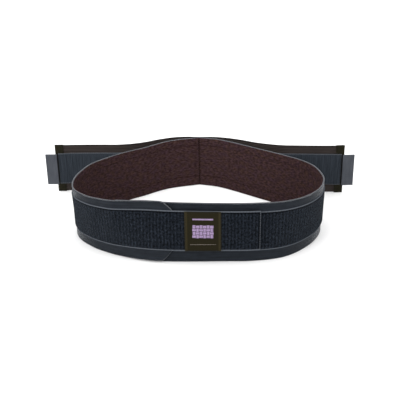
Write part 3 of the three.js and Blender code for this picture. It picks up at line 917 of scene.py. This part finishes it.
def make_tongue_hook():
    start = taper_end + BUTT_GAP
    strip = Strip("tongue_hook_cloth", waist, start, tongue_end, LOOP_TAPE_WIDTH, TAPE_ROWS)
    strip.low = lambda along: LOOP_TAPE_LOW
    strip.inner = lap_lift
    strip.outer = lambda along: lap_lift(along) + WEBBING_THICKNESS
    strip.raised = lap_raise
    piece = strip.make(BLACK_HOOK, WEBBING_THICKNESS)
    stands_for(piece, "tongue_hook")


def make_label():
    low = LOOP_TAPE_LOW + (LOOP_TAPE_WIDTH - LABEL_HEIGHT) / 2
    rows = rows_across(LABEL_HEIGHT, NEAR_FINE_EDGE, LABEL_ROW)
    strip = Strip("label_cloth", waist, label_start, label_end, LABEL_HEIGHT, rows)
    strip.column = SHORT_COLUMN
    strip.low = lambda along: low
    strip.inner = lambda along: lap_lift(along) + LOOP_OUT - LABEL_SUNK
    strip.outer = lambda along: lap_lift(along) + LABEL_OUT
    strip.raised = lap_raise
    strip.relief = folded_sides
    piece = strip.make(OLIVE_LABEL, LABEL_THICKNESS)
    stands_for(piece, "label")
    edge = ROW_FROM_EDGE
    border = border_rows(label_start + edge, label_end - edge, edge, LABEL_HEIGHT - edge)
    strip.sew("label_border_stitches", border, DARK_THREAD, "label")

    # A basket-weave block of satin stitch, with a satin band above it and a row of running stitch below.
    middle = (label_start + label_end) / 2
    bars = []
    for column in range(BASKET_COLUMNS):
        for row in range(BASKET_ROWS):
            along = middle + (column - (BASKET_COLUMNS - 1) / 2) * BASKET_SQUARE
            across = LABEL_HEIGHT / 2 + (row - (BASKET_ROWS - 1) / 2) * BASKET_SQUARE
            for bar in range(BASKET_BARS):
                offset = ((bar + 0.5) / BASKET_BARS - 0.5) * BASKET_SQUARE
                half = BASKET_BAR[0] / 2
                if (column + row) % 2:
                    bars.append(((along - half, across + offset), (along + half, across + offset)))
                else:
                    bars.append(((along + offset, across - half), (along + offset, across + half)))
    strip.sew("label_basket_block", bars, LILAC_THREAD, "label", stitch=BASKET_BAR, pitch=BASKET_BAR[0])
    step = BASKET_SQUARE / BASKET_BARS
    places = [middle + (i - (BAND_BARS - 1) / 2) * step for i in range(BAND_BARS)]
    half = BAND_BAR[0] / 2
    band = [((along, BAND_LEVEL - half), (along, BAND_LEVEL + half)) for along in places]
    strip.sew("label_upper_band", band, LILAC_THREAD, "label", stitch=BAND_BAR, pitch=BAND_BAR[0])
    half = LOWER_LINE_LENGTH / 2
    line = [((middle - half, LOWER_LINE_LEVEL), (middle + half, LOWER_LINE_LEVEL))]
    strip.sew("label_lower_line", line, CREAM_THREAD, "label", stitch=LABEL_STITCH, pitch=LABEL_STITCH_PITCH)


make_tongue_hook()
make_label()


def make_back_seam():
    """The zigzag joining the two lined panels, seen on the lining, and the two straps, seen from behind."""
    # These two strips only carry the stitches. No cloth is cut for them.
    inside = Strip("back_seam_inside", waist, -COLUMN, COLUMN, PANEL_HEIGHT, PANEL_ROWS)
    inside.inner = lambda along: -SEWN_GAP - LINING_THICKNESS
    outside = Strip("back_seam_outside", straps, 0, COLUMN, ELASTIC_HEIGHT, PANEL_ROWS)
    outside.low = lambda along: strap_low(from_seam(along))
    outside.outer = lambda along: ELASTIC_THICKNESS
    for strip, middle, side, finish, slot in (
        (inside, 0.0, 0, MAROON_THREAD, "lining_left"),
        (outside, strap_middle, 1, DARK_THREAD, "elastic_left"),
    ):
        count = round((strip.width - 2 * ROW_FROM_EDGE) / ZIGZAG_STEP)
        turns = [
            (middle + (ZIGZAG_REACH if i % 2 else -ZIGZAG_REACH), ROW_FROM_EDGE + i * ZIGZAG_STEP)
            for i in range(count + 1)
        ]
        rows = list(zip(turns, turns[1:]))
        strip.sew(strip.name, rows, finish, slot, side=side, stitch=ZIGZAG_STITCH, pitch=ZIGZAG_STITCH[0])


def strap_strip(name, side, near, far, width, rows):
    """A strip on one strap, between two distances from the seam."""
    ends = sorted(on_strap(side, place) for place in (near, far))
    return Strip(name, straps, ends[0], ends[1], width, rows)


def on_strap(side, place):
    """A strap's place along the straps' line, from its distance from the seam."""
    return strap_middle + (place if side == "left" else -place)


def from_seam(along):
    """The distance from the seam of a place along the straps' line."""
    return abs(along - strap_middle)


# How far in front of the elastic the hook tape lies on the binding, and where it ends and starts.
ON_CAP = CAP_CLEARANCE + CAP_CLOTH + SEWN_GAP
HOOK_END = STRAP_LENGTH - TAB_OVER_CAP - TAB_GAP
HOOK_START = HOOK_END - HOOK_TAPE_LENGTH


def hook_depth(along):
    """How far the hook tape lies in front of the elastic: it steps up over the binding at the strap's end."""
    step_start = STRAP_LENGTH - CAP_LENGTH - HOOK_TAPE_STEP
    return from_to(CLOTH_GAP, ON_CAP, smooth_share(from_seam(along), step_start, step_start + HOOK_TAPE_STEP))


def make_elastic(side):
    rows = rows_across(ELASTIC_HEIGHT, NEAR_EDGE, PANEL_ROW)
    end = STRAP_LENGTH - ELASTIC_IN_CAP
    strip = strap_strip(f"elastic_{side}_cloth", side, 0.0, end, ELASTIC_HEIGHT, rows)
    strip.low = lambda along: strap_low(from_seam(along))
    strip.outer = lambda along: ELASTIC_THICKNESS
    piece = strip.make(BROWN_ELASTIC, ELASTIC_THICKNESS)
    stands_for(piece, f"elastic_{side}")
    edge = ROW_FROM_EDGE
    near, far = (on_strap(side, place) for place in (HOOK_START + edge, STRAP_LENGTH - CAP_LENGTH - edge))
    low, high = HOOK_TAPE_LOW + edge, HOOK_TAPE_LOW + HOOK_TAPE_WIDTH - edge
    rows = [((near, low), (far, low)), ((near, high), (far, high)), ((near, low), (near, high))]
    for place in STRAP_SEAM_ROWS:
        along = on_strap(side, place)
        rows.append(((along, edge), (along, ELASTIC_HEIGHT - edge)))
    strip.sew(f"elastic_{side}_stitches", rows, DARK_THREAD, f"elastic_{side}")


def make_hook_tape(side):
    rows = rows_across(HOOK_TAPE_WIDTH, [*NEAR_EDGE, 2 * MM, 2.6 * MM], TAPE_ROW)
    strip = strap_strip(f"hook_tape_{side}_cloth", side, HOOK_START, HOOK_END, HOOK_TAPE_WIDTH, rows)
    strip.low = lambda along: strap_low(from_seam(along)) + HOOK_TAPE_LOW
    strip.inner = lambda along: -hook_depth(along) - HOOK_TAPE_THICKNESS
    strip.outer = lambda along: -hook_depth(along)
    strip.relief = hook_shoulder
    piece = strip.make(NAVY_HOOK_TAPE, HOOK_TAPE_THICKNESS, rounding=0.3)
    stands_for(piece, f"hook_tape_{side}")
    edge = ROW_FROM_EDGE
    rows = border_rows(strip.start + edge, strip.end - edge, edge, HOOK_TAPE_WIDTH - edge)
    strip.sew(f"hook_tape_{side}_stitches", rows, DARK_THREAD, f"hook_tape_{side}", side=0)


def make_pull_tab(side):
    rows = rows_across(HOOK_TAPE_WIDTH, NEAR_EDGE, TAPE_ROW)
    start, end = STRAP_LENGTH - TAB_OVER_CAP, STRAP_LENGTH + TAB_REACH
    strip = strap_strip(f"pull_tab_{side}_cloth", side, start, end, HOOK_TAPE_WIDTH, rows)
    strip.column = SHORT_COLUMN
    strip.low = lambda along: strap_low(STRAP_LENGTH) + HOOK_TAPE_LOW - TAB_DROP
    strip.inner = lambda along: -ON_CAP - HOOK_TAPE_THICKNESS
    strip.outer = lambda along: -ON_CAP
    piece = strip.make(PALE_GREY_TAB, HOOK_TAPE_THICKNESS, rounding=0.3)
    stands_for(piece, f"pull_tab_{side}")


class FoldedBinding(Strip):
    """A strip folded round a strap's end: from its edge in front, round the end, to its edge behind."""

    def __init__(self, side):
        self.side = side
        self.middle = ELASTIC_THICKNESS / 2
        self.reach = self.middle + CAP_CLEARANCE + CAP_CLOTH
        self.turn_start = STRAP_LENGTH + CAP_CLEARANCE + CAP_CLOTH - self.reach
        self.leg = self.turn_start - (STRAP_LENGTH - CAP_LENGTH)
        self.fold = math.pi * (self.reach - CAP_CLOTH / 2)
        width = ELASTIC_HEIGHT + 2 * CAP_OVERHANG
        rows = rows_across(width, NEAR_FINE_EDGE, CAP_ROW)
        super().__init__(f"end_cap_{side}_cloth", straps, 0, 2 * self.leg + self.fold, width, rows)
        self.column = FOLD_COLUMN

    def place(self, along, across, side, height=0.0):
        radius = self.reach - CAP_CLOTH * (1 - side) + height
        turned = min(max((along - self.leg) / self.fold, 0.0), 1.0) * math.pi
        back = max(self.leg - along, along - self.leg - self.fold, 0.0)
        place = self.turn_start - back + math.sin(turned) * radius
        return straps.put(on_strap(self.side, place), self.middle - math.cos(turned) * radius, across)


def make_end_cap(side):
    strip = FoldedBinding(side)
    piece = strip.make(OLIVE_BINDING, CAP_CLOTH, rounding=0.3)
    stands_for(piece, f"end_cap_{side}")
    edge = 2 * ROW_FROM_EDGE
    rows = [((along, edge), (along, strip.width - edge)) for along in (edge, strip.end - edge)]
    strip.sew(f"end_cap_{side}_stitches", rows, DARK_THREAD, f"end_cap_{side}")

    # A close bar tack fills the gap between the hook tape and the pull tab.
    gap_middle = STRAP_LENGTH - TAB_OVER_CAP - TAB_GAP / 2
    along = strip.leg - (strip.turn_start - gap_middle)
    low = HOOK_TAPE_LOW + CAP_OVERHANG
    tacks = [
        ((along - TAB_GAP / 2, low + i * BAR_TACK_STEP), (along + TAB_GAP / 2, low + i * BAR_TACK_STEP))
        for i in range(round(HOOK_TAPE_WIDTH / BAR_TACK_STEP))
    ]
    strip.sew(f"bar_tack_{side}", tacks, DARK_THREAD, f"end_cap_{side}", stitch=BAR_TACK, pitch=TAB_GAP)


make_back_seam()
for strap_side in ("left", "right"):
    make_elastic(strap_side)
    make_end_cap(strap_side)
    make_hook_tape(strap_side)
    make_pull_tab(strap_side)


# The studio: a pale floor, an even white surround, a wide light overhead and soft lights round the belt.
FLOOR_SIZE = 12
FLOOR_SHADES = (0.93, 0.95)
FLOOR_MOTTLE = 1.5
WORLD_LIGHT = 1.0
OVERHEAD_LIGHT = 1.6
OVERHEAD_SPREAD = math.radians(100)
INNER_SPREAD = math.radians(30)
BELT_MIDDLE = (0, 0, 0.04)
LINING_AT_BACK = (0, 0.14, 0.05)


def soft_light(name, place, aim, width, height, power, spread=math.pi):
    """A lamp with a soft rectangular face, unseen by the camera."""
    light = bpy.data.lights.new(name, "AREA")
    light.spread = spread
    light.shape = "RECTANGLE"
    light.size = width
    light.size_y = height
    light.energy = power
    lamp = bpy.data.objects.new(name, light)
    lamp.location = place
    lamp.rotation_euler = (Vector(aim) - Vector(place)).to_track_quat("-Z", "Y").to_euler()
    lamp.visible_camera = False
    bpy.context.scene.collection.objects.link(lamp)


def overhead_light():
    light = bpy.data.lights.new("overhead_softbox", "SUN")
    light.energy = OVERHEAD_LIGHT
    light.angle = OVERHEAD_SPREAD
    lamp = bpy.data.objects.new("overhead_softbox", light)
    bpy.context.scene.collection.objects.link(lamp)


def pale_floor():
    bm = bmesh.new()
    bmesh.ops.create_grid(bm, x_segments=1, y_segments=1, size=FLOOR_SIZE / 2)
    under, over = ((shade, shade, shade, 1) for shade in FLOOR_SHADES)
    floor = finished_piece("pale_floor", bm, mottled("pale_floor", 0.9, FLOOR_MOTTLE, under, over))


def studio_world():
    world = bpy.data.worlds.new("studio")
    bpy.context.scene.world = world
    world.use_nodes = True
    background = world.node_tree.nodes["Background"]
    background.inputs["Color"].default_value = (1, 1, 1, 1)
    background.inputs["Strength"].default_value = WORLD_LIGHT


def photo_camera():
    camera = bpy.data.cameras.new("camera")
    camera.sensor_width = SENSOR_WIDTH
    camera.lens = FOCAL_PIXELS / PHOTO_PIXELS * SENSOR_WIDTH
    camera.clip_start = 0.01
    viewer = bpy.data.objects.new("camera", camera)
    tilt = Matrix.Rotation(math.pi / 2 - CAMERA_PITCH, 4, "X") @ Matrix.Rotation(CAMERA_ROLL, 4, "Z")
    stand = footprint_shift + Vector((0, -CAMERA_BACK, CAMERA_HEIGHT))
    viewer.matrix_world = Matrix.Translation(stand) @ tilt
    bpy.context.scene.collection.objects.link(viewer)
    bpy.context.scene.camera = viewer


pale_floor()
studio_world()
overhead_light()
soft_light("left_softbox", (-1.8, -0.7, 0.32), BELT_MIDDLE, width=1.4, height=0.5, power=12)
soft_light("right_softbox", (1.8, -0.6, 0.32), BELT_MIDDLE, width=1.4, height=0.5, power=8)
soft_light("front_softbox", (-1.3, -1.7, 1.0), BELT_MIDDLE, width=0.6, height=0.6, power=12)
soft_light(
    "inner_softbox", (0, -0.3, 0.6), LINING_AT_BACK, width=0.3, height=0.1, power=0.12, spread=INNER_SPREAD
)
photo_camera()

bpy.context.scene.view_settings.view_transform = "Standard"
